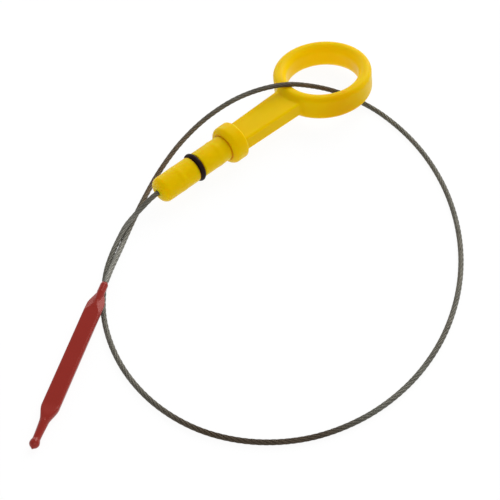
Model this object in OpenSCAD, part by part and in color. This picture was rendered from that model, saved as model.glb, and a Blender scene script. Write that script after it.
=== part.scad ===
// Engine oil dipstick: a moulded handle with a finger ring and a sealing plug,
// a length of steel wire rope bent into one loop, and a flat moulded indicator tip.
// It is drawn as it lies on a table. +X runs from the plug's nose to the finger ring,
// +Z is up, and the origin is on the plug's axis where its rounded nose begins.
// All sizes are in millimetres.

/* [Finger ring] */
// Outside diameter of the finger ring
ring_od = 36; // [26:0.5:50]
// Wall of the ring, from its outside to the middle of its bulging inner face
ring_wall = 4.3; // [4.2:0.1:7]
// Height of the ring along its own axis
ring_h = 9.8; // [8:0.2:14]
// Rounding of the ring's outer edges
ring_outer_round = 1.3; // [0.2:0.1:1.4]
// Rounding of the ring's inner edges, which makes the hole kind to a finger
ring_inner_round = 2.9; // [1:0.1:3]

/* [Shank] */
// Length of the shank, from the collar to the ring's outside
shank_len = 27.5; // [15:0.5:60]
// Width of the shank where it leaves the collar
shank_w_collar = 10.8; // [8:0.1:12.4]
// Width of the shank where it meets the ring
shank_w_ring = 12.4; // [9:0.1:18]
// Thickness of the shank
shank_t = 5.8; // [4:0.1:7.4]
// Rounding along the shank's four long edges
shank_round = 0.9; // [0.3:0.1:1.8]
// Radius of the webs in the corners between the shank and the ring
root_fillet = 2.4; // [1:0.1:4]

/* [Collar] */
// Diameter of the collar that stops the plug
collar_d = 14.6; // [13:0.1:20]
// Length of the collar along the axis
collar_h = 6.1; // [4:0.1:10]
// Rounding of the collar's shoulder on the plug's side
collar_shoulder = 2.1; // [0.5:0.1:2.2]
// Rounding of the collar's edge on the ring's side
collar_edge = 0.5; // [0.2:0.1:1.2]

/* [Plug] */
// Diameter of the plug
plug_d = 9.7; // [9:0.1:10.2]
// Length of the plug from its rounded nose to the collar
plug_len = 30; // [24:0.5:50]
// Rounding of the nose's edge
nose_round = 1.2; // [0.5:0.1:2]
// Radius of the domed nose itself
nose_dome = 9; // [7:0.5:20]
// Height of the two low beads that centre the plug in its tube
bead_h = 0.16; // [0.1:0.02:0.3]
// Length of each bead along the plug
bead_w = 2.6; // [1.5:0.1:4]
// Distance of the first bead from the start of the nose
bead_1_x = 7.6; // [5:0.1:9]
// Distance of the second bead from the collar
bead_2_x = 4.7; // [3:0.1:6]

/* [Seal] */
// Thickness of the O-ring's round section
seal_d = 2; // [1.8:0.1:2.8]
// Distance from the collar to the middle of the O-ring
seal_x = 14.2; // [9:0.1:16]
// How far the O-ring stands out of the plug
seal_proud = 0.7; // [0.4:0.05:0.9]
// Width of the groove beyond the O-ring's own
groove_play = 0.5; // [0.1:0.1:1]

/* [Wire rope] */
// Diameter of the wire rope
rope_d = 1.8; // [1.2:0.1:2]
// Depth of the rope's socket in the plug's nose
nose_socket = 4; // [3:0.5:8]
// Depth of the rope's socket in the tip's neck
neck_socket = 3.4; // [2:0.1:4.5]
// Clearance of each socket round the rope and behind its end
socket_play = 0.06; // [0.02:0.01:0.1]

/* [Indicator tip] */
// Whole length of the tip
tip_len = 66.8; // [60:0.2:90]
// Diameter of the tip's neck
neck_d = 2.7; // [2.4:0.1:3.2]
// Length of the neck before it widens
neck_len = 4.6; // [4.4:0.1:7]
// Width of the flat blade
blade_w = 5.5; // [4.5:0.1:8]
// Thickness of the flat blade
blade_t = 2; // [1.6:0.1:2.2]
// Length over which the neck widens into the blade
upper_shoulder = 6.3; // [4:0.1:9]
// Slope of the bevels on the blade's upper shoulders
bevel_slope = 16; // [6:1:20]
// Length over which the blade narrows into the tail
lower_shoulder = 5.9; // [3:0.1:8]
// Length of the thin tail from the blade to the ball
tail_len = 7.8; // [5:0.1:12]
// Diameter of the tail
tail_d = 2.6; // [2:0.1:3]
// Diameter of the ball end
ball_d = 3.3; // [3.1:0.1:4]
// Length of the small point on the ball
nub_len = 0.6; // [0.4:0.1:1.5]

/* [Lie on the table] */
// Place of the neck's open end along X
tip_x = -39.3; // [-60:0.1:-20]
// Place of the neck's open end along Y
tip_y = -15.4; // [-30:0.1:0]
// Height of the neck's axis over the table, where it lies over the rope
tip_h = 3.4; // [3.2:0.1:5]
// Direction in which the tip points, seen from above
tip_heading = 210; // [190:1:230]

/* [Hidden] */

yellow = [0.86, 0.72, 0.02];
black = [0.1, 0.1, 0.1];
steel = [0.36, 0.35, 0.32];
red = [0.57, 0.17, 0.14];

turned_fn = 96;
edge_fn = 24;
rope_sides = 8;
rope_steps = 2;
arc_steps = 8;
joint_lap = 1;

ring_r = ring_od / 2;
hole_r = ring_r - ring_wall;
plug_r = plug_d / 2;
collar_r = collar_d / 2;
rope_r = rope_d / 2;
shank_x0 = plug_len + collar_h;
ring_x = shank_x0 + shank_len + ring_r;

// The domed nose: its dome and its rounded edge touch without a corner
dome_x = sqrt(pow(nose_dome - nose_round, 2) - pow(plug_r - nose_round, 2));
dome_turn = asin((plug_r - nose_round) / (nose_dome - nose_round));
nose_len = nose_dome - dome_x;

// The O-ring and its groove
seal_at = plug_len - seal_x;
seal_mid_r = plug_r + seal_proud - seal_d / 2;
groove_r = seal_mid_r - seal_d / 2;
groove_w = seal_d + groove_play;

// The handle lies on its collar and on one side of its ring, with its axis level
rest_h = collar_r;
rest_reach = ring_r - ring_outer_round;
rest_drop = ring_h / 2 - ring_outer_round;
handle_roll = asin((collar_r - ring_outer_round) / norm([rest_reach, rest_drop])) - atan(rest_drop / rest_reach);

// The tip lies on its ball, with its neck over the rope
ball_x = tip_len - nub_len - ball_d / 2;
tip_pitch = asin((tip_h - ball_d / 2) / ball_x);
blade_x0 = neck_len + upper_shoulder;
bevel_x = blade_x0 - upper_shoulder / 3;
bevel_turn = atan(blade_w / 2 / (5 / 6 * upper_shoulder));
blade_x1 = ball_x - tail_len - lower_shoulder;
tail_x = ball_x - tail_len;
tip_axis = [cos(tip_pitch) * cos(tip_heading), cos(tip_pitch) * sin(tip_heading), -sin(tip_pitch)];
tip_at = [tip_x, tip_y, tip_h - rest_h];

// Points of an arc of radius r round c, from angle a0 to a1
function arc(c, r, a0, a1) =
    [for (i = [0 : arc_steps]) let (a = a0 + (a1 - a0) * i / arc_steps) c + r * [cos(a), sin(a)]];

// The rope's route between its two sockets: X, Y and the height of its middle over the table.
// It leaves the nose, drops onto the table over its own other end, runs under the tip's neck
// and round the loop, goes under the raised side of the ring, up through its hole, over its
// other side, down beside the plug and into the tip's neck.
ROUTE = [
    [-5.8, 0, 6.7],
    [-9.3, 0.2, 5.1],
    [-13.3, 0.1, 3.7],
    [-17.8, -0.7, 2.7],
    [-22.8, -2.5, 1.7],
    [-28.5, -5.5, 1.15],
    [-34.4, -9.8, 0.92],
    [-40.4, -15.4, 0.92],
    [-47.5, -23.7, 0.92],
    [-53.5, -34.5, 0.92],
    [-57.7, -48.1, 0.92],
    [-58.5, -63.6, 0.92],
    [-54.5, -80.1, 0.92],
    [-45.8, -93.9, 0.92],
    [-32.6, -104.9, 0.92],
    [-15.4, -111.7, 0.92],
    [3.7, -113.4, 0.92],
    [22.6, -110.2, 0.92],
    [40.5, -102.7, 0.92],
    [56.3, -91.8, 0.92],
    [69.9, -77.6, 0.92],
    [80.3, -61.3, 0.92],
    [86.8, -44.2, 0.92],
    [89.1, -30.6, 1],
    [89.1, -19.9, 1.15],
    [88, -16.3, 1.9],
    [81.8, -6.1, 5.6],
    [74.3, -0.2, 9.2],
    [66, 3.7, 12.6],
    [59.5, 6.9, 13.2],
    [49.6, 11.6, 11.7],
    [36.7, 14.8, 8.4],
    [23.1, 14.6, 5.2],
    [8.7, 11.1, 2.5],
    [-3.7, 5.8, 1.2],
    [-14.3, 0.2, 0.95],
    [-25.3, -6.3, 1.2],
    [-33.9, -11.7, 2.4]
];
nose_end = [-nose_len, 0, 0];
neck_end = tip_at;
route_points = concat(
    [nose_end + [nose_socket, 0, 0], nose_end],
    [for (p = ROUTE) p - [0, 0, rest_h]],
    [neck_end, neck_end + neck_socket * tip_axis]);
last = len(route_points) - 1;

// A smooth curve through the route's points, each span in proportion to its length
function span(i) = norm(route_points[i + 1] - route_points[i]);
function slope(i) = (route_points[i + 1] - route_points[i]) / span(i);
function heading(i) =
    i == 0 ? slope(0) : i == last ? slope(last - 1)
    : (slope(i - 1) * span(i) + slope(i) * span(i - 1)) / (span(i - 1) + span(i));
function on_route(i, t) =
    route_points[i] * (1 + 2 * t) * pow(1 - t, 2) + heading(i) * span(i) * t * pow(1 - t, 2)
    + route_points[i + 1] * t * t * (3 - 2 * t) - heading(i + 1) * span(i) * t * t * (1 - t);
function unit(v) = v / norm(v);

// A tube of constant diameter swept along a list of points
module swept_tube(path, r, sides) {
    n = len(path);
    ring_points = [for (i = [0 : n - 1])
        let (ahead = unit(path[min(i + 1, n - 1)] - path[max(i - 1, 0)]),
             side = unit(cross([0, 0, 1], ahead)),
             top = cross(ahead, side))
        for (k = [0 : sides - 1])
            let (a = 360 * (k + 0.5) / sides) path[i] + r * (cos(a) * side + sin(a) * top)];
    walls = [for (i = [0 : n - 2]) for (k = [0 : sides - 1])
        let (k2 = (k + 1) % sides) [i * sides + k, i * sides + k2, (i + 1) * sides + k2, (i + 1) * sides + k]];
    polyhedron(points = ring_points,
        faces = concat([[for (k = [sides - 1 : -1 : 0]) k]], walls, [[for (k = [0 : sides - 1]) (n - 1) * sides + k]]));
}

// Lays a solid turned round Z along the X axis
module along_x() {
    rotate([0, 90, 0])
        children();
}

// Half outline of the plug and the collar: distance from the axis, then place along it
module plug_outline() {
    polygon(concat(
        [[0, -nose_len]],
        [for (i = [1 : arc_steps]) let (a = dome_turn * i / arc_steps) [nose_dome * sin(a), dome_x - nose_dome * cos(a)]],
        arc([plug_r - nose_round, 0], nose_round, dome_turn - 90, 0),
        bead_points(bead_1_x),
        [[plug_r, seal_at - groove_w / 2], [groove_r, seal_at - groove_w / 2],
         [groove_r, seal_at + groove_w / 2], [plug_r, seal_at + groove_w / 2]],
        bead_points(plug_len - bead_2_x),
        [[plug_r, plug_len]],
        arc([collar_r - collar_shoulder, plug_len + collar_shoulder], collar_shoulder, -90, 0),
        arc([collar_r - collar_edge, shank_x0 - collar_edge], collar_edge, 0, 90),
        [[0, shank_x0]]));
}

// A low round bead on the plug, as an arc whose height is bead_h over a length of bead_w
function bead_points(x) =
    let (r = (pow(bead_w / 2, 2) + pow(bead_h, 2)) / (2 * bead_h), a = asin(bead_w / 2 / r))
    arc([plug_r + bead_h - r, x], r, -a, a);

// Section of the finger ring: flat outside, bulging inside
module ring_section() {
    top = ring_h / 2;
    polygon(concat(
        arc([ring_r - ring_outer_round, top - ring_outer_round], ring_outer_round, 0, 90),
        arc([hole_r + ring_inner_round, top - ring_inner_round], ring_inner_round, 90, 180),
        arc([hole_r + ring_inner_round, ring_inner_round - top], ring_inner_round, 180, 270),
        arc([ring_r - ring_outer_round, ring_outer_round - top], ring_outer_round, 270, 360)));
}

// End face of the shank, a rectangle with round corners
module shank_section(w) {
    rotate([90, 0, 90])
        linear_extrude(0.1)
            offset(r = shank_round, $fn = edge_fn)
                square([w - 2 * shank_round, shank_t - 2 * shank_round], center = true);
}

// Web in the corner between one side of the shank and the ring
module root_web() {
    half_w = shank_w_ring / 2;
    web_y = half_w + root_fillet;
    web_x = sqrt(pow(ring_r + root_fillet, 2) - web_y * web_y);
    touch = (ring_r / (ring_r + root_fillet)) * [-web_x, web_y];
    linear_extrude(shank_t - 2 * shank_round, center = true)
        difference() {
            polygon([[-web_x, half_w - joint_lap], [-web_x, half_w], touch, touch + [joint_lap, -joint_lap],
                     [-web_x + joint_lap, half_w - joint_lap]]);
            translate([-web_x, web_y])
                circle(r = root_fillet, $fn = turned_fn);
        }
}

module handle() {
    shank_end = ring_x - sqrt(pow(ring_r, 2) - pow(shank_w_ring / 2, 2)) + joint_lap;
    color(yellow)
    rotate([-handle_roll, 0, 0])
    difference() {
        union() {
            along_x()
                rotate_extrude($fn = turned_fn)
                    plug_outline();
            difference() {
                hull() {
                    translate([shank_x0 - joint_lap, 0, 0])
                        shank_section(shank_w_collar);
                    translate([shank_end, 0, 0])
                        shank_section(shank_w_ring);
                }
                translate([ring_x, 0, 0])
                    cylinder(r = ring_r - ring_outer_round, h = ring_h, center = true, $fn = turned_fn);
            }
            translate([ring_x, 0, 0])
                rotate_extrude($fn = turned_fn)
                    ring_section();
            for (side = [0, 1])
                translate([ring_x, 0, 0])
                    mirror([0, side, 0])
                        root_web();
        }
        translate([-nose_len - joint_lap, 0, 0])
            along_x()
                cylinder(r = rope_r + socket_play, h = nose_socket + socket_play + joint_lap, $fn = turned_fn);
    }
}

module o_ring() {
    color(black)
    translate([seal_at, 0, 0])
        along_x()
            rotate_extrude($fn = turned_fn)
                translate([seal_mid_r, 0])
                    circle(d = seal_d, $fn = edge_fn);
}

module wire_rope() {
    path = concat(
        [for (i = [0 : last - 1]) for (k = [0 : rope_steps - 1]) on_route(i, k / rope_steps)],
        [route_points[last]]);
    color(steel)
    swept_tube(path, rope_r, rope_sides);
}

// Half outline of the tip as it would be turned, before its two flats are cut
module tip_outline() {
    half_w = blade_w / 2;
    neck_r = neck_d / 2;
    tail_r = tail_d / 2;
    ball_r = ball_d / 2;
    ball_start = asin(tail_r / ball_r);
    nub_turn = 35;
    polygon(concat(
        [[0, 0], [rope_r + socket_play + 0.1, 0], [neck_r, 0.7]],
        s_curve([neck_r, neck_len], [half_w, blade_x0]),
        s_curve([half_w, blade_x1], [tail_r, tail_x]),
        [for (i = [0 : arc_steps]) let (a = 180 - ball_start - (180 - ball_start - nub_turn) * i / arc_steps)
            [ball_r * sin(a), ball_x + ball_r * cos(a)]],
        [[0, tip_len]]));
}

// A smooth step between two points of the outline
function s_curve(p, q) =
    [for (i = [0 : arc_steps]) let (t = i / arc_steps)
        [p[0] + (q[0] - p[0]) * t * t * (3 - 2 * t), p[1] + (q[1] - p[1]) * t]];

// What is cut away above the blade's upper flat, running out towards the neck and the tail
module flat_cut() {
    top = blade_w;
    rotate([90, 0, 0])
        linear_extrude(2 * blade_w, center = true)
            polygon([[neck_len, neck_d / 2], [neck_len + 2, blade_t / 2], [blade_x1 - 1, blade_t / 2],
                     [tail_x, tail_d / 2], [tail_x, top], [neck_len, top]]);
}

// What is cut away above the bevel of one shoulder: its crease with the flat leaves the middle
// line at bevel_x and reaches the blade's edge behind the shoulder
module bevel_cut() {
    translate([bevel_x, 0, blade_t / 2])
        rotate([0, 0, bevel_turn])
            rotate([-bevel_slope, 0, 0])
                translate([bevel_x - blade_x0, 0, 0])
                    cube([3 * upper_shoulder, blade_w, blade_w]);
}

// The round neck, which runs out into the blade past its shoulders
module neck_root() {
    lead = 0.2;
    translate([neck_len - lead, 0, 0])
        along_x()
            cylinder(r1 = neck_d / 2 - 0.01, r2 = blade_t / 2 - 0.1, h = upper_shoulder + lead, $fn = turned_fn);
}

module indicator_tip() {
    color(red)
    translate(tip_at)
        rotate([0, tip_pitch, tip_heading])
            difference() {
                union() {
                    difference() {
                        along_x()
                            rotate_extrude($fn = turned_fn)
                                tip_outline();
                        for (face = [0, 1])
                            mirror([0, 0, face]) {
                                flat_cut();
                                bevel_cut();
                                mirror([0, 1, 0])
                                    bevel_cut();
                            }
                    }
                    neck_root();
                }
                translate([-joint_lap, 0, 0])
                    along_x()
                        cylinder(r = rope_r + socket_play, h = neck_socket + socket_play + joint_lap, $fn = turned_fn);
            }
}

handle();
o_ring();
wire_rope();
indicator_tip();
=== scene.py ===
import bpy, math
import numpy as np
from mathutils import Matrix, Vector


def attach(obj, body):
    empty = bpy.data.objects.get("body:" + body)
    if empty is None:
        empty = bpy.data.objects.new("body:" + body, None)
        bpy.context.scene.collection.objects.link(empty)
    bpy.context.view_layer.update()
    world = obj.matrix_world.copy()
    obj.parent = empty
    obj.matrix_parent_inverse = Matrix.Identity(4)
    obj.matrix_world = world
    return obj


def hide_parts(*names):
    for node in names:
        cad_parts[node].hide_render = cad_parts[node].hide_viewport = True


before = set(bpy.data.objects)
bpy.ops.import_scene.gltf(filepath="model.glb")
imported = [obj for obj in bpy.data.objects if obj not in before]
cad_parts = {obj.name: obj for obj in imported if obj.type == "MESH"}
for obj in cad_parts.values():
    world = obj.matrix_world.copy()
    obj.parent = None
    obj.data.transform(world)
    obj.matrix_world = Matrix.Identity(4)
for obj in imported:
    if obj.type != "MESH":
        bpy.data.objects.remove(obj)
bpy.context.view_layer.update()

mm = 0.001  # the pieces are worked out in millimetres; the floor and the lamps are in metres
scene = bpy.context.scene

# Mesh making


def gridFaces(rows, cols):
    # quads between neighbouring points of a rows by cols grid whose last column meets its first
    start = np.arange(rows - 1)[:, None] * cols
    col = np.arange(cols)[None]
    nextCol = (col + 1) % cols
    quads = np.stack([start + col, start + nextCol, start + cols + nextCol, start + cols + col], -1)
    return quads.reshape(-1, 4)


def makePiece(name, points, quads, caps=()):
    # points in millimetres; caps are extra faces, each a list of point numbers
    mesh = bpy.data.meshes.new(name)
    sizes = np.array([4] * len(quads) + [len(cap) for cap in caps])
    loops = np.concatenate([quads.ravel()] + [np.asarray(cap) for cap in caps]).astype(np.int32)
    mesh.vertices.add(len(points))
    mesh.vertices.foreach_set("co", (np.asarray(points, dtype=np.float32) * mm).ravel())
    mesh.loops.add(len(loops))
    mesh.loops.foreach_set("vertex_index", loops)
    mesh.polygons.add(len(sizes))
    mesh.polygons.foreach_set("loop_start", np.r_[0, np.cumsum(sizes)[:-1]].astype(np.int32))
    mesh.polygons.foreach_set("use_smooth", np.ones(len(sizes), bool))
    mesh.update(calc_edges=True)
    mesh.validate()
    piece = bpy.data.objects.new(name, mesh)
    scene.collection.objects.link(piece)
    return piece


def storeValue(piece, name, values):
    # one number per point, for the material to read
    store = piece.data.attributes.new(name, "FLOAT", "POINT")
    store.data.foreach_set("value", values.astype(np.float32).ravel())


# Distance fields, negative inside a shape and zero on its skin


def softMax(a, b, r):
    # what lies in both shapes: the larger of a and b, held at -r, plus the length of what a + r and
    # b + r have above zero, so that the edge between the two skins is a round of radius r
    return np.minimum(np.maximum(a, b), -r) + np.hypot(np.maximum(a + r, 0), np.maximum(b + r, 0))


def softMin(a, b, r):
    # what lies in either shape, with a fillet of radius r: softMax with every sign turned
    return -softMax(-a, -b, r)


def ease(t):
    # a smooth step from 0 to 1: three times the square less twice the cube
    t = np.clip(t, 0, 1)
    return t * t * (3 - 2 * t)


skin = {
    "rounds": 4,  # times that each point is slid onto the surface
    "reach": 0.02,  # distance to each side over which the slope is taken
    "leastSlope": 0.2,  # smallest square of the slope that a slide divides by
}


def skinOf(field, box, step):
    # the zero surface of a field: one point per grid cell that it crosses, at the mean of the crossings
    # on the cell's edges, and one quad per crossed grid edge; each point is then slid along the slope,
    # by the field times the slope over the slope's square, until it lies on the surface
    low = np.array(box[0], float)
    counts = np.ceil((np.array(box[1]) - low) / step).astype(int) + 1
    where = np.indices(counts).reshape(3, -1).T
    value = field(low + step * where).reshape(counts)
    unit = np.eye(3, dtype=int)
    cells, crossings = [], []
    for axis in range(3):
        u, v = unit[(axis + 1) % 3], unit[(axis + 2) % 3]
        near = np.take(value, np.arange(counts[axis] - 1), axis)
        far = np.take(value, np.arange(1, counts[axis]), axis)
        edges = np.argwhere((near < 0) != (far < 0))
        a, b = near[tuple(edges.T)], far[tuple(edges.T)]
        crossings.append(low + step * (edges + (a / (a - b))[:, None] * unit[axis]))
        around = np.stack([edges - u - v, edges - v, edges, edges - u], 1)
        around[a > 0] = around[a > 0][:, ::-1]
        cells.append(around)
    cells = np.concatenate(cells)
    flat = (cells[..., 0] * counts[1] + cells[..., 1]) * counts[2] + cells[..., 2]
    _, quads = np.unique(flat, return_inverse=True)
    quads = quads.reshape(flat.shape)
    spots = np.repeat(np.concatenate(crossings), 4, axis=0)
    shared = np.bincount(quads.ravel())
    points = np.stack([np.bincount(quads.ravel(), spots[:, k]) / shared for k in range(3)], 1)
    reach = skin["reach"]
    for _ in range(skin["rounds"]):
        rise = [field(points + reach * e) - field(points - reach * e) for e in unit]
        slope = np.stack(rise, 1) / (2 * reach)
        slide = field(points) / np.maximum((slope**2).sum(1), skin["leastSlope"])
        points = points - np.clip(slide, -step, step)[:, None] * slope
    return points, quads


# Shader maths: a socket with the usual operators, and one method that makes any other node


class Wire:
    def __init__(self, tree, socket):
        self.tree, self.socket = tree, socket

    def math(self, kind, other=None, swap=False):
        node = self.tree.nodes.new("ShaderNodeMath")
        node.operation = kind
        first, second = (other, self) if swap else (self, other)
        plug(self.tree, first, node.inputs[0])
        plug(self.tree, second, node.inputs[1])
        return Wire(self.tree, node.outputs[0])

    def __add__(self, other):
        return self.math("ADD", other)

    def __radd__(self, other):
        return self.math("ADD", other)

    def __sub__(self, other):
        return self.math("SUBTRACT", other)

    def __rsub__(self, other):
        return self.math("SUBTRACT", other, swap=True)

    def __mul__(self, other):
        return self.math("MULTIPLY", other)

    def __rmul__(self, other):
        return self.math("MULTIPLY", other)

    def __pow__(self, other):
        return self.math("POWER", other)

    def __rpow__(self, other):
        return self.math("POWER", other, swap=True)

    def abs(self):
        return self.math("ABSOLUTE")

    def cos(self):
        return self.math("COSINE")

    def clamp(self):
        return self.math("MINIMUM", 1.0).math("MAXIMUM", 0.0)


def plug(tree, value, socket):
    # a wire is linked and a plain value is set; None leaves the socket as it is
    if isinstance(value, Wire):
        tree.links.new(value.socket, socket)
    elif value is not None:
        socket.default_value = value


class Nodes:
    def __init__(self, tree):
        self.tree = tree

    def node(self, kind, out=0, settings=None, **sockets):
        # a socket is named with _ for each space, or i and its number where names repeat
        node = self.tree.nodes.new("ShaderNode" + kind)
        for key, value in (settings or {}).items():
            setattr(node, key, value)
        for key, value in sockets.items():
            name = key.replace("_", " ")
            numbered = name[0] == "i" and name[1:].isdigit()
            plug(self.tree, value, node.inputs[int(name[1:]) if numbered else name])
        return Wire(self.tree, node.outputs[out])


class Finish(Nodes):
    # a material under construction

    def __init__(self, name, **fixed):
        self.material = bpy.data.materials.new(name)
        self.material.use_nodes = True
        super().__init__(self.material.node_tree)
        self.shader = self.tree.nodes["Principled BSDF"]
        for socket, value in fixed.items():
            self.set(socket.replace("_", " "), value)

    def set(self, socket, value):
        plug(self.tree, value, self.shader.inputs[socket])

    def noise(self, scale, detail=2.0):
        # scale is in patches per metre
        return self.node("TexNoise", Vector=self.node("TexCoord", out="Object"), Scale=scale, Detail=detail)

    def mix(self, factor, a, b):
        # a colour between a and b
        return self.node("Mix", out=2, settings={"data_type": "RGBA"}, i0=factor, i6=a, i7=b)

    def bump(self, height, distance, strength):
        return self.node("Bump", Height=height, Distance=distance, Strength=strength)

    def stored(self, name):
        # what storeValue has put on the piece
        return self.node("Attribute", out="Fac", settings={"attribute_name": name})


def rgb(red, green, blue):
    # a colour written as it shows, in 0 to 255, made linear for the shader by the screen's own curve
    shown = np.array([red, green, blue]) / 255
    linear = np.where(shown <= 0.04045, shown / 12.92, ((shown + 0.055) / 1.055) ** 2.4)
    return (*map(float, linear), 1.0)


# Camera, at the photograph's viewing angle

eye = {
    "place": (-192.57, -244.83, 344.42),
    "right": (0.71955, -0.69444, 0.0),
    "up": (0.53721, 0.55664, 0.63369),
    "lens": 93.816,
    "sensor": 36.0,
    "shift": (-0.001, 0.001),
    "clip": (0.01, 20.0),  # m
}


def makeCamera():
    # the camera looks against the cross product of its right and up directions
    data = bpy.data.cameras.new("camera")
    data.lens, data.sensor_width = eye["lens"], eye["sensor"]
    data.shift_x, data.shift_y = eye["shift"]
    data.clip_start, data.clip_end = eye["clip"]
    camera = bpy.data.objects.new("camera", data)
    right = np.array(eye["right"]) / np.linalg.norm(eye["right"])
    up = np.array(eye["up"]) - np.dot(eye["up"], right) * right
    up /= np.linalg.norm(up)
    turn = Matrix([[*row] for row in np.stack([right, up, np.cross(right, up)], 1)]).to_4x4()
    turn.translation = [v * mm for v in eye["place"]]
    camera.matrix_world = turn
    scene.collection.objects.link(camera)
    scene.camera = camera


makeCamera()
print("camera", eye["lens"], "mm")

# Wire rope: six strands laid round a core, twisted along the route

rope = {
    "diameter": 1.8,
    "shown": 1.9,  # over the crowns of the wires
    "valleys": 0.6,  # depth of the valleys between strands, as a share of that between round ones
    "restHeight": 7.3,  # the plug's axis over the table
    "length": 485.0,  # with its two ends in their sockets
    "noseEnd": (-2.11, 0.0, 0.0),
    "neckEnd": (-39.3, -15.4, -3.9),
    "neckAxis": (-0.8657, -0.4998, -0.0271),
    "inNose": 3.0,
    "inNeck": 2.0,
    "lay": 13.0,  # length of one full turn of a strand
    "strands": 6,
    "perStrand": 8,  # points round the visible arc of one strand
    "visibleArc": 120.0,  # degrees to each side of a strand's crown
    "perSpan": 24,  # points of the curve between two of the route's
    "step": 0.62,  # between rings of points
    # heights are over the table here
    "route": [
        (-5.8, 0, 6.7), (-9.3, 0.2, 5.1), (-13.3, 0.1, 3.7), (-17.8, -0.7, 2.7), (-22.7, -2.7, 1.7),
        (-28.38, -5.72, 1.15), (-34.4, -9.8, 0.92), (-40.4, -15.4, 0.92), (-47.5, -23.7, 0.92),
        (-53.5, -34.5, 0.92), (-57.7, -48.1, 0.92), (-58.5, -63.6, 0.92), (-54.5, -80.1, 0.92),
        (-45.8, -93.9, 0.92), (-32.6, -104.9, 0.92), (-15.4, -111.7, 0.92), (3.7, -113.4, 0.92),
        (22.6, -110.2, 0.92), (40.5, -102.7, 0.92), (56.3, -91.8, 0.92), (69.9, -77.6, 0.92),
        (80.3, -61.3, 0.92), (86.8, -44.2, 0.92), (89.1, -30.6, 1), (89.1, -19.9, 1.15),
        (88, -16.3, 1.9), (81.8, -6.1, 5.6), (74.3, -0.2, 9.2),
        (66, 3.7, 12.6), (59.5, 6.9, 13.2), (49.6, 11.6, 11.7), (36.7, 14.8, 8.4), (23.1, 14.6, 5.2),
        (8.7, 11.1, 2.5), (-3.7, 5.8, 1.2), (-14.3, 0.2, 0.95), (-25.3, -6.3, 1.2), (-33.9, -11.7, 2.4),
    ],
}


def smoothRoute(points):
    # each span is a cubic between two points; the heading at a point is the mean of the two spans that
    # meet there, each weighed by the other's length
    points = np.asarray(points, float)
    span = np.diff(points, axis=0)
    length = np.linalg.norm(span, axis=1)[:, None]
    slope = span / length
    inner = (slope[:-1] * length[1:] + slope[1:] * length[:-1]) / (length[:-1] + length[1:])
    heading = np.vstack([slope[:1], inner, slope[-1:]])
    t = (np.arange(rope["perSpan"]) / rope["perSpan"])[None, :, None]
    a, b = points[:-1, None], points[1:, None]
    leave, arrive = (heading[:-1] * length)[:, None], (heading[1:] * length)[:, None]
    curve = a * (1 + 2 * t) * (1 - t) ** 2 + leave * t * (1 - t) ** 2
    curve = curve + b * t * t * (3 - 2 * t) - arrive * t * t * (1 - t)
    return np.vstack([curve.reshape(-1, 3), points[-1:]])


def evenly(curve, step):
    # the curve again, with points the same distance apart
    along = np.r_[0, np.cumsum(np.linalg.norm(np.diff(curve, axis=0), axis=1))]
    count = int(round(along[-1] / step)) + 1
    at = np.linspace(0, along[-1], count)
    return np.stack([np.interp(at, along, curve[:, k]) for k in range(3)], 1), at


def carriedFrames(line):
    # two directions across the line at each point; top stays as near to straight up as it can
    ahead = np.gradient(line, axis=0)
    ahead /= np.linalg.norm(ahead, axis=1)[:, None]
    side = np.cross([0, 0, 1.0], ahead)
    side /= np.linalg.norm(side, axis=1)[:, None]
    return side, np.cross(ahead, side)


def ropeOutline():
    # round each strand's crown the outline is an arc of a circle a third of the rope across, whose
    # centre lies two of its radii out; the valleys are then made shallower
    strandR = rope["shown"] / 6
    count = rope["perStrand"]
    arc = math.radians(rope["visibleArc"]) * ((2 * np.arange(count) + 1) / count - 1)
    x, y = 2 * strandR + strandR * np.cos(arc), strandR * np.sin(arc)
    turns = np.arange(rope["strands"])[:, None] * 2 * math.pi / rope["strands"]
    radius = 3 * strandR - rope["valleys"] * (3 * strandR - np.hypot(x, y))
    angle = np.arctan2(y, x) + turns
    return np.tile(radius, rope["strands"]), angle.ravel(), np.tile(arc, rope["strands"])


def makeRope():
    # the outline is carried along the route and turned by a full circle in each lay: a point is the
    # line's own, plus its radius times side by the cosine and top by the sine of its turned angle
    drop = np.array([0, 0, rope["restHeight"]])
    nose, neck = np.array(rope["noseEnd"]), np.array(rope["neckEnd"])
    inside = nose + [rope["inNose"], 0, 0]
    beyond = neck + rope["inNeck"] * np.array(rope["neckAxis"])
    free = np.vstack([nose, np.array(rope["route"], float) - drop, neck])
    line, at = evenly(smoothRoute(np.vstack([inside, free, beyond])), rope["step"])
    radius, angle, arc = ropeOutline()
    turned = angle[None] + 2 * math.pi * at[:, None] / rope["lay"]
    side, top = carriedFrames(line)
    across = np.cos(turned)[..., None] * side[:, None] + np.sin(turned)[..., None] * top[:, None]
    points = line[:, None] + radius[None, :, None] * across
    rows, cols = len(line), len(radius)
    caps = [np.arange(cols)[::-1], (rows - 1) * cols + np.arange(cols)]
    piece = makePiece("wireRope", points.reshape(-1, 3), gridFaces(rows, cols), caps)
    storeValue(piece, "along", np.repeat(at, cols))
    storeValue(piece, "strandAngle", np.tile(arc, rows))
    return piece, line * mm, at[-1] * mm


wireRope, ropeLine, ropeLength = makeRope()
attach(wireRope, "root")
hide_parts("wire_rope")
print("rope", round(ropeLength, 4), "m long,", len(wireRope.data.polygons), "faces")

# Handle: turned plug and collar, shank and finger ring in one moulding

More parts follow.
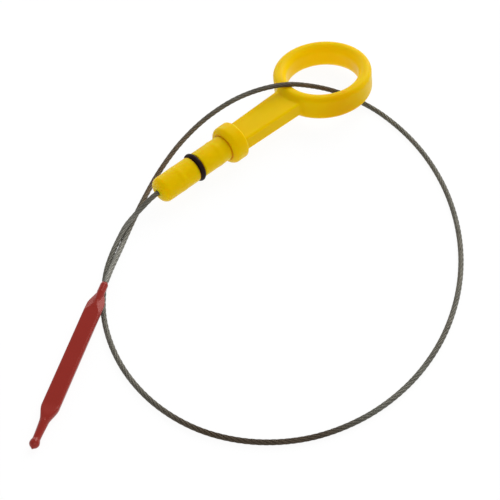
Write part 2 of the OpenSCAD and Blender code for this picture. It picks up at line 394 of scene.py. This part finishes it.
handle = {
    "plugR": 4.85, "plugLen": 30.0, "noseDome": 9.0, "noseRound": 1.2, "noseLen": 2.11,
    "beadH": 0.11, "beadW": 3.2, "beads": (7.6, 25.3),
    "grooveAt": 15.8, "grooveW": 2.5, "grooveR": 3.55, "grooveBottom": 0.3, "grooveEdge": 0.15,
    "collarR": 7.3, "collarLen": 6.1, "shoulder": 2.1, "collarEdge": 0.5, "collarCrease": 0.06,
    "lineR": 0.22, "lineAhead": 0.12, "lineEdge": 0.05,  # the fine line where the plug meets the collar
    "shankW": (10.8, 12.4),  # at the collar and at the ring
    "shankT": 5.8, "shankRound": 0.9, "shankLen": 27.2, "shankCrease": 0.4, "shankEnd": 0.1,
    "lap": 1.0,  # how far the plug and the shank run on inside the collar
    "ringR": 18.8, "ringWall": 5.1, "ringH": 9.8, "outerRound": 1.9, "innerRound": 2.9,
    "webR": 2.4, "ringCrease": 1.3,
    "socketR": 0.96, "socketDepth": 4.0, "socketBottom": 0.1, "socketEdge": 0.12,
    "roll": -8.0, "step": 0.34, "box": ((-2.9, -19.7, -7.9), (102.1, 19.7, 7.9)),
}
collarEnd = handle["plugLen"] + handle["collarLen"]
ringX = collarEnd + handle["shankLen"] + handle["ringR"]


def handleField(p):
    # plug: a cylinder round the x axis that swells by two eased beads, cut by a large ball for its
    # nose and by the seal's groove, which is a slice of everything outside a smaller cylinder
    # collar: a wider cylinder between two planes; a thin torus is cut out where the plug meets it
    # shank: a slab, in plan a strip that widens evenly and joins the ring's disc by a web, and that
    # ends inside the collar and the ring's wall
    # ring: a disc between two planes, less its hole, with its own round on each edge
    # handle: the plug, the collar, the shank and the ring joined by fillets, less the rope's socket
    h = handle
    x, y, z = p[:, 0], p[:, 1], p[:, 2]
    out = np.hypot(y, z)
    bead = sum(ease(1 - np.abs(x - at) / (h["beadW"] / 2)) for at in h["beads"])
    dome = np.hypot(np.minimum(x - h["noseDome"] + h["noseLen"], 0), out) - h["noseDome"]
    plugBody = softMax(out - h["plugR"] - h["beadH"] * bead, dome, h["noseRound"])
    plugBody = np.maximum(plugBody, x - h["plugLen"] - h["lap"])
    groove = softMax(np.abs(x - h["grooveAt"]) - h["grooveW"] / 2, h["grooveR"] - out, h["grooveBottom"])
    plugBody = softMax(plugBody, -groove, h["grooveEdge"])
    collar = softMax(out - h["collarR"], h["plugLen"] - x, h["shoulder"])
    collar = softMax(collar, x - collarEnd, h["collarEdge"])
    body = softMin(plugBody, collar, h["collarCrease"])
    fromLine = np.hypot(x - h["plugLen"] + h["lineAhead"], out - h["plugR"])
    body = softMax(body, h["lineR"] - fromLine, h["lineEdge"])
    fromRing = np.hypot(x - ringX, y)
    grow = np.clip((x - collarEnd) / h["shankLen"], 0, 1)
    width = h["shankW"][0] + (h["shankW"][1] - h["shankW"][0]) * grow
    strip = softMax(np.abs(y) - width / 2, x - ringX, h["shankEnd"])
    plan = softMin(strip, fromRing - h["ringR"] + h["outerRound"], h["webR"])
    slab = softMax(plan, np.abs(z) - h["shankT"] / 2, h["shankRound"])
    slab = np.maximum(slab, collarEnd - h["lap"] - x)
    slab = np.maximum(slab, h["ringR"] - h["ringWall"] / 2 - fromRing)
    body = softMin(body, slab, h["shankCrease"])
    ring = softMax(fromRing - h["ringR"], np.abs(z) - h["ringH"] / 2, h["outerRound"])
    ring = softMax(ring, h["ringR"] - h["ringWall"] - fromRing, h["innerRound"])
    body = softMin(body, ring, h["ringCrease"])
    socket = softMax(out - h["socketR"], x + h["noseLen"] - h["socketDepth"], h["socketBottom"])
    return softMax(body, -socket, h["socketEdge"])


def turnedAboutX(points, degrees):
    c, s = math.cos(math.radians(degrees)), math.sin(math.radians(degrees))
    return points @ np.array([[1, 0, 0], [0, c, s], [0, -s, c]])


# where light and shade are painted on the handle: the ring's inner wall, the creases and a patch on the
# ring's outer wall
paintedShading = {
    "innerFrom": 2.2, "innerOver": 2.0,  # start of the painted light on the inner wall, outside the hole, and its fade
    "creaseW": 0.6,
    "sealEdge": 1.3,  # from the O-ring's middle to its front edge
    "patchAt": (-0.39, -0.92), "patchZ": -2.0,  # the painted-shade patch: from the ring's middle, in its radii, and its height
    "patchR": 14.0, "patchShare": 0.42,
}


def innerPaintedLight(p):
    # painted light on the ring's inner wall: 0 on the ring's crown to 1 on its hole, an eased step of the
    # distance from the ring's middle
    holeR = handle["ringR"] - handle["ringWall"]
    down = holeR + paintedShading["innerFrom"] - np.hypot(p[:, 0] - ringX, p[:, 1])
    return ease(down / paintedShading["innerOver"])


def paintedShadeMask(p):
    # painted shade: 1 in the crease at the collar and along the O-ring's front edge, and a fainter round
    # patch low on the ring's outer wall, each an eased step of the distance from it
    toCrease = np.hypot(p[:, 0] - handle["plugLen"], np.hypot(p[:, 1], p[:, 2]) - handle["plugR"])
    toSeal = np.abs(p[:, 0] - handle["grooveAt"] + paintedShading["sealEdge"])
    line = ease(1 - np.minimum(toCrease, toSeal) / paintedShading["creaseW"])
    patchX, patchY = paintedShading["patchAt"]
    middle = [ringX + patchX * handle["ringR"], patchY * handle["ringR"], paintedShading["patchZ"]]
    patch = ease(1 - np.linalg.norm(p - middle, axis=1) / paintedShading["patchR"])
    return np.maximum(line, paintedShading["patchShare"] * patch)


points, quads = skinOf(handleField, handle["box"], handle["step"])
mouldedHandle = makePiece("mouldedHandle", turnedAboutX(points, handle["roll"]), quads)
# painted light on the ring's inner wall
storeValue(mouldedHandle, "inner", innerPaintedLight(points))
# painted shade in the creases and in a patch on the ring's outer wall
storeValue(mouldedHandle, "crease", paintedShadeMask(points))
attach(mouldedHandle, "root")
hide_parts("handle")
print("handle", len(quads), "faces")

# O-ring: a round section carried round the plug, a little flattened where it sits in its groove

seal = {"midR": 4.55, "section": 2.0, "round": 96, "sides": 28, "flat": 0.04}


def makeSeal():
    # at angle a round the plug and b round the section, a point lies the section's radius times the
    # cosine of b outside the middle circle, less the flat share on its inner half, and times the sine
    # of b along the axis
    a = np.linspace(0, 2 * math.pi, seal["round"], endpoint=False)[:, None]
    b = np.linspace(0, 2 * math.pi, seal["sides"], endpoint=False)[None]
    r = seal["section"] / 2
    radius = seal["midR"] + r * np.cos(b) * (1 - seal["flat"] * (np.cos(b) < 0))
    x = handle["grooveAt"] + r * np.sin(b)
    points = np.stack(np.broadcast_arrays(x, radius * np.cos(a), radius * np.sin(a)), -1)
    quads = gridFaces(seal["round"] + 1, seal["sides"]) % (seal["round"] * seal["sides"])
    return makePiece("sealRing", points.reshape(-1, 3), quads[:, ::-1])


sealRing = makeSeal()
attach(sealRing, "root")
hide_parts("o_ring")
print("seal", len(sealRing.data.polygons), "faces")

# Indicator tip: a round neck that runs out over a flat blade, then a thin tail and a ball end

tip = {
    "place": (-39.33, -15.34, -3.9), "heading": 210.0, "pitch": 1.55,
    "start": 0.5, "mouthR": 1.06, "mouthLen": 0.9, "mouthEdge": 0.15,
    "neckR": 1.35, "neckLen": 4.6, "neckLap": 0.4, "neckEdge": 0.1,
    # the neck's root, a cone that sinks into the blade, with a fillet that grows along it
    "rootEnd": 11.0, "rootR": 0.9, "rootFillet": (0.02, 0.3), "filletFrom": 6.0, "filletLen": 3.0,
    "bladeR": 3.0, "bladeT": 2.0, "bladeEnd": 50.85, "edge": 0.2,
    "upper": 6.1, "upperLead": 0.7, "upperFall": 2.0,  # shoulders at the neck
    "lower": 5.9, "lowerLead": 1.0,  # and at the tail
    "chamfer": 0.6, "chamferSlope": 20.0, "chamferEdge": 0.05,
    "bevelAt": 8.8, "bevelTurn": 27.6, "bevelSlope": 17.0, "bevelEdge": 0.06,
    "tailStart": 1.66, "tailR": 1.28, "taperFrom": 3.0, "taperLen": 9.0,
    "tailFrom": 2.0, "tailSunk": 0.8, "sunkLen": 4.0,  # the round tail rises out of the blade's end
    "ballAt": 64.55, "ballR": 1.65, "ballFillet": 0.5,
    "nub": 0.6, "nubFrom": 0.8, "nubSlope": 0.75, "nubFillet": 0.25,
    "socketR": 0.96, "socketDepth": 3.4, "socketBottom": 0.1, "socketEdge": 0.08,
    "step": 0.17, "box": ((-0.5, -3.4, -2.1), (67.2, 3.4, 2.1)),
}
cutsNothing = -9.0  # a field value deep inside any of the tip's shapes


def tipField(p):
    # blade: the round shape whose radius follows width along the x axis, eased from neck to blade and
    # from blade to tail, between two flats that rise to the neck and to the tail, with a chamfer along
    # its edges and a sloping bevel across each upper shoulder
    # neck: a cylinder that narrows at its mouth, and a cone that runs out over the blade
    # tail: a slowly tapering cylinder that rises out of the blade's end, then a ball and a small cone
    # tip: the blade, the neck, the tail and the ball joined by fillets, less the rope's socket
    t = tip
    x, y, z = p[:, 0], p[:, 1], p[:, 2]
    out = np.hypot(y, z)
    half = t["bladeT"] / 2
    tail = 1 - ease((x - t["bladeEnd"] - t["taperFrom"]) / t["taperLen"])
    tail = t["tailR"] + (t["tailStart"] - t["tailR"]) * tail
    width = t["neckR"] + (t["bladeR"] - t["neckR"]) * ease((x - t["neckLen"] + t["upperLead"]) / t["upper"])
    width = width + (tail - t["bladeR"]) * ease((x - t["bladeEnd"]) / t["lower"])
    rise = (t["neckR"] - half) * (1 - np.clip((x - t["neckLen"]) / t["upperFall"], 0, 1))
    lowerShare = ease((x - t["bladeEnd"] + t["lowerLead"]) / (t["lower"] + t["lowerLead"]))
    overFlats = np.abs(z) - half - rise - (tail - half) * lowerShare
    turn, slope = math.radians(t["bevelTurn"]), math.radians(t["bevelSlope"])
    beyond = np.abs(y) * math.cos(turn) - (x - t["bevelAt"]) * math.sin(turn)
    bevel = (np.abs(z) - half) * math.cos(slope) + beyond * math.sin(slope)
    bevel = np.where(x > t["neckLen"], bevel, cutsNothing)
    chamfer = math.radians(t["chamferSlope"])
    trim = overFlats * math.cos(chamfer) + (out - width + t["chamfer"]) * math.sin(chamfer)
    slab = softMax(softMax(overFlats, bevel, t["bevelEdge"]), trim, t["chamferEdge"])
    slab = softMax(slab, out - width, t["edge"])
    neck = softMax(out - t["neckR"], x - t["neckLen"] - t["neckLap"], t["neckEdge"])
    rootShare = (x - t["neckLen"]) / (t["rootEnd"] - t["neckLen"])
    root = out - t["neckR"] - (t["rootR"] - t["neckR"]) * rootShare
    root = np.maximum(root, np.maximum(t["neckLen"] - x, x - t["rootEnd"]))
    fillet = t["rootFillet"][0] + t["rootFillet"][1] * ease((x - t["filletFrom"]) / t["filletLen"])
    sunk = t["tailSunk"] * (1 - ease((x - t["bladeEnd"] - t["tailFrom"]) / t["sunkLen"]))
    tailBody = np.maximum(out - tail + sunk, t["bladeEnd"] + t["tailFrom"] - x)
    body = np.minimum(np.minimum(softMin(slab, root, fillet), neck), tailBody)
    body = np.maximum(body, x - t["ballAt"])
    mouth = out - t["neckR"] + (t["neckR"] - t["mouthR"]) * ease(1 - (x - t["start"]) / t["mouthLen"])
    mouth = np.where(x < t["start"] + t["mouthLen"], mouth, cutsNothing)
    body = np.maximum(softMax(body, t["start"] - x, t["mouthEdge"]), mouth)
    ball = np.hypot(x - t["ballAt"], out) - t["ballR"]
    nubEnd = t["ballAt"] + t["ballR"] + t["nub"]
    nub = (out - (nubEnd - x) * t["nubSlope"]) / math.hypot(1, t["nubSlope"])
    nub = np.maximum(nub, t["ballAt"] + t["nubFrom"] - x)
    body = softMin(softMin(body, ball, t["ballFillet"]), nub, t["nubFillet"])
    socket = softMax(out - t["socketR"], x - t["socketDepth"], t["socketBottom"])
    return softMax(body, -socket, t["socketEdge"])


def laidTip(points):
    # pitched down from its neck, turned to its heading and put in its place
    a, b = math.radians(tip["heading"]), math.radians(tip["pitch"])
    lean = np.array([[math.cos(b), 0, -math.sin(b)], [0, 1, 0], [math.sin(b), 0, math.cos(b)]])
    swing = np.array([[math.cos(a), math.sin(a), 0], [-math.sin(a), math.cos(a), 0], [0, 0, 1]])
    return points @ lean @ swing + np.array(tip["place"])


points, quads = skinOf(tipField, tip["box"], tip["step"])
redTip = makePiece("redTip", laidTip(points), quads)
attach(redTip, "root")
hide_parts("indicator_tip")
print("tip", len(quads), "faces")

# Materials, with colours in 0 to 255, noise in patches per metre and depths in metres

yellow = {
    "level": 0.13, "tint": (1.0, 0.7, 0.0, 1.0),
    "under": 0.75, "underScale": 0.004, "underRadius": (1.0, 0.55, 0.06),  # light that passes through
    "plain": (230, 195, 2), "cloudy": (226, 188, 1), "clouds": 90,
    # a painted-light colour for the ring's inner wall, and a painted-shade colour with its share
    "inner": (250, 209, 3), "paintedShadeColour": (206, 112, 4), "paintedShadeShare": 0.75,
    "rough": 0.32, "roughMore": 0.08, "roughNoise": 260,
    "grain": 2600, "grainDepth": 0.00002, "grainShare": 0.2,
}


def handlePlastic():
    # clouded yellow, with painted light that makes the ring's inner wall brighter, where light comes
    # through, and painted shade in places
    m = yellow
    f = Finish("yellowPlastic", Specular_IOR_Level=m["level"], Specular_Tint=m["tint"])
    f.set("Subsurface Weight", m["under"])
    f.set("Subsurface Scale", m["underScale"])
    f.set("Subsurface Radius", m["underRadius"])
    outer = f.mix(f.noise(m["clouds"], 3.0), rgb(*m["plain"]), rgb(*m["cloudy"]))
    # painted light on the ring's inner wall
    withPaintedLight = f.mix(f.stored("inner"), outer, rgb(*m["inner"]))
    # painted shade in the crease at the collar, along the O-ring and in a patch on the ring's wall
    f.set("Base Color", f.mix(f.stored("crease") * m["paintedShadeShare"], withPaintedLight, rgb(*m["paintedShadeColour"])))
    f.set("Roughness", m["rough"] + m["roughMore"] * f.noise(m["roughNoise"]))
    f.set("Normal", f.bump(f.noise(m["grain"]), m["grainDepth"], m["grainShare"]))
    return f.material


black = {
    "level": 0.12, "tint": (1.0, 0.75, 0.75, 1.0),
    "dark": (25, 12, 10), "pale": (33, 18, 15), "clouds": 500,
    "rough": 0.42, "roughMore": 0.16, "roughNoise": 900,
}


def sealRubber():
    m = black
    f = Finish("blackRubber", Specular_IOR_Level=m["level"], Specular_Tint=m["tint"])
    f.set("Base Color", f.mix(f.noise(m["clouds"]), rgb(*m["dark"]), rgb(*m["pale"])))
    f.set("Roughness", m["rough"] + m["roughMore"] * f.noise(m["roughNoise"]))
    return f.material


steel = {
    "metal": 0.75,
    "grey": ((141, 141, 131), (104, 104, 95)),
    "oily": ((136, 114, 90), (98, 78, 59)),
    "brown": ((95, 76, 55), (64, 51, 38)),
    "bright": (168, 167, 158),
    # painted shade between the strands and between the wires
    "paintedValleyShade": (28, 25, 19),
    "speckle": 240, "patches": 22, "patchGain": 0.9, "patchLess": 0.28,
    "wires": 6, "wireTurn": 1.35,  # wires round a strand, and their turn in radians per mm
    "crownNarrow": 0.62, "inValley": 0.6,  # share of the steel's colour that a strand's side keeps under its painted shade
    "wireSharp": 0.6, "wireDepth": 0.00006, "wireShare": 0.8,
    "rough": 0.38, "roughMore": 0.2, "roughNoise": 1500,
    # stretches in mm along the rope: start, rise, end and fall
    "besidePlug": (380, 50, 448, 50 / 3), "oilyShare": 0.85,
    "nearSide": (92, 25, 176, 20), "overRing": (322, 20, 384, 20), "overRingShare": 0.7, "brownShare": 0.85,
    "rubbed": ((8, 10, 36, 20), (446, 20, 600, 20)), "brightShare": 0.6,
}


def stretchOf(along, start, rise, end, fall):
    # 0 before the start, 1 once the rise is over, and back to 0 over the fall before the end
    return ((along - start) * (1 / rise)).clamp() * ((end - along) * (1 / fall)).clamp()


def ropeSteel():
    # the wires are the size of a cosine of the angle round a strand plus a share of the distance along
    # it, which turns them against the strand's own lay; painted shade darkens the gaps between the wires
    # and each strand from its crown to its sides
    m = steel
    f = Finish("ropeSteel", Metallic=m["metal"])
    along, angle = f.stored("along"), f.stored("strandAngle")
    wires = (angle * (m["wires"] / 2) + along * m["wireTurn"]).cos().abs()
    crown = (angle * m["crownNarrow"]).cos().clamp()
    speckle = f.noise(m["speckle"], 3.0)
    pairs = (m["grey"], m["oily"], m["brown"])
    grey, oily, brown = (f.mix(speckle, rgb(*pale), rgb(*dark)) for pale, dark in pairs)
    # oily in patches, and most of all beside the plug
    patches = f.noise(m["patches"]) * m["patchGain"] - m["patchLess"]
    oil = stretchOf(along, *m["besidePlug"]) * m["oilyShare"] + patches
    clean = f.mix(oil.clamp(), grey, oily)
    # brown at the near side of the loop and over the ring
    brownStretches = stretchOf(along, *m["nearSide"]) + stretchOf(along, *m["overRing"]) * m["overRingShare"]
    clean = f.mix(brownStretches * m["brownShare"], clean, brown)
    # rubbed bright where the rope lies beside itself, at both of its ends
    first, last = (stretchOf(along, *stretch) for stretch in m["rubbed"])
    clean = f.mix((first + last).clamp() * m["brightShare"], clean, rgb(*m["bright"]))
    # painted shade: dark between the wires and on each strand's sides, lighter on its crown
    shown = wires ** m["wireSharp"] * (m["inValley"] + (1 - m["inValley"]) * crown)
    f.set("Base Color", f.mix(shown, rgb(*m["paintedValleyShade"]), clean))
    f.set("Roughness", m["rough"] + m["roughMore"] * f.noise(m["roughNoise"]))
    f.set("Normal", f.bump(wires, m["wireDepth"], m["wireShare"]))
    return f.material


red = {
    "level": 0.4, "tint": (1.0, 0.62, 0.58, 1.0),
    "plain": (151, 43, 34), "cloudy": (144, 38, 29), "clouds": 140,
    "rough": 0.17, "roughMore": 0.08, "roughNoise": 400,
    "grain": 2400, "grainDepth": 0.00002, "grainShare": 0.3,
}


def tipPlastic():
    m = red
    f = Finish("redPlastic", Specular_IOR_Level=m["level"], Specular_Tint=m["tint"])
    f.set("Base Color", f.mix(f.noise(m["clouds"], 3.0), rgb(*m["plain"]), rgb(*m["cloudy"])))
    f.set("Roughness", m["rough"] + m["roughMore"] * f.noise(m["roughNoise"]))
    f.set("Normal", f.bump(f.noise(m["grain"]), m["grainDepth"], m["grainShare"]))
    return f.material


for piece, material in (
    (mouldedHandle, handlePlastic()),
    (sealRing, sealRubber()),
    (wireRope, ropeSteel()),
    (redTip, tipPlastic()),
):
    piece.data.materials.clear()
    piece.data.materials.append(material)
    print("finish", material.name, "on", piece.name)

# Floor and light

stage = {
    "floorSize": 3.0, "floor": (0.9, 0.9, 0.9, 1.0), "floorRough": 0.9,
    "white": 1.03,  # strength of the plain white that is mixed into the floor
    "glow": 0.9, "bounce": 0.55,  # its share as the camera sees the floor, and as the object does
    "horizon": 0.85, "zenith": 0.35,  # the world's light
    "aim": (0.0, -0.03, 0.0),
    "lamps": {  # place, size and power
        "softboxFront": ((-0.3, -0.6, 0.75), 0.8, 1.3),
        "softboxBack": ((0.36, 0.79, 0.34), 0.34, 0.7),
        "softboxRight": ((0.76, 0.2, 0.6), 0.8, 5.4),
    },
}


def makeFloor():
    # a square at the height of the table, part paper that takes a shadow and part plain white
    half = stage["floorSize"] / 2
    z = -rope["restHeight"] * mm
    corners = [(-half, -half, z), (half, -half, z), (half, half, z), (-half, half, z)]
    mesh = bpy.data.meshes.new("floor")
    mesh.from_pydata(corners, [], [(0, 1, 2, 3)])
    floor = bpy.data.objects.new("floor", mesh)
    scene.collection.objects.link(floor)
    f = Finish("floorPaper", Roughness=stage["floorRough"], Specular_IOR_Level=0.0)
    f.set("Base Color", stage["floor"])
    seen = f.node("LightPath", out="Is Camera Ray") + f.node("LightPath", out="Is Glossy Ray")
    seen = (seen + f.node("LightPath", out="Is Transmission Ray")).clamp()
    share = seen * (stage["glow"] - stage["bounce"]) + stage["bounce"]
    white = f.node("Emission", Color=(1, 1, 1, 1), Strength=stage["white"])
    paper = Wire(f.tree, f.shader.outputs[0])
    both = f.node("MixShader", i0=share, i1=paper, i2=white)
    plug(f.tree, both, f.tree.nodes["Material Output"].inputs["Surface"])
    mesh.materials.append(f.material)


def makeLamp(name, place, size, power):
    # a round softbox that faces the aim
    data = bpy.data.lights.new(name, "AREA")
    data.shape, data.size, data.energy = "DISK", size, power
    lamp = bpy.data.objects.new(name, data)
    facing = (Vector(place) - Vector(stage["aim"])).to_track_quat("Z", "Y")
    lamp.matrix_world = Matrix.Translation(place) @ facing.to_matrix().to_4x4()
    scene.collection.objects.link(lamp)


def makeWorld():
    # white to the camera; as a light, brightest at the horizon and dimmer with the sine of the height
    world = bpy.data.worlds.new("studio")
    world.use_nodes = True
    w = Nodes(world.node_tree)
    height = w.node("SeparateXYZ", out="Z", Vector=w.node("TexCoord", out="Generated")).clamp()
    level = stage["horizon"] - (stage["horizon"] - stage["zenith"]) * height
    level = level + (1 - level) * w.node("LightPath", out="Is Camera Ray")
    background = w.tree.nodes["Background"]
    plug(w.tree, (1, 1, 1, 1), background.inputs["Color"])
    plug(w.tree, level, background.inputs["Strength"])
    scene.world = world


makeFloor()
for name, (place, size, power) in stage["lamps"].items():
    makeLamp(name, place, size, power)
makeWorld()
scene.view_settings.view_transform = "Standard"
print("stage", len(stage["lamps"]), "lamps")
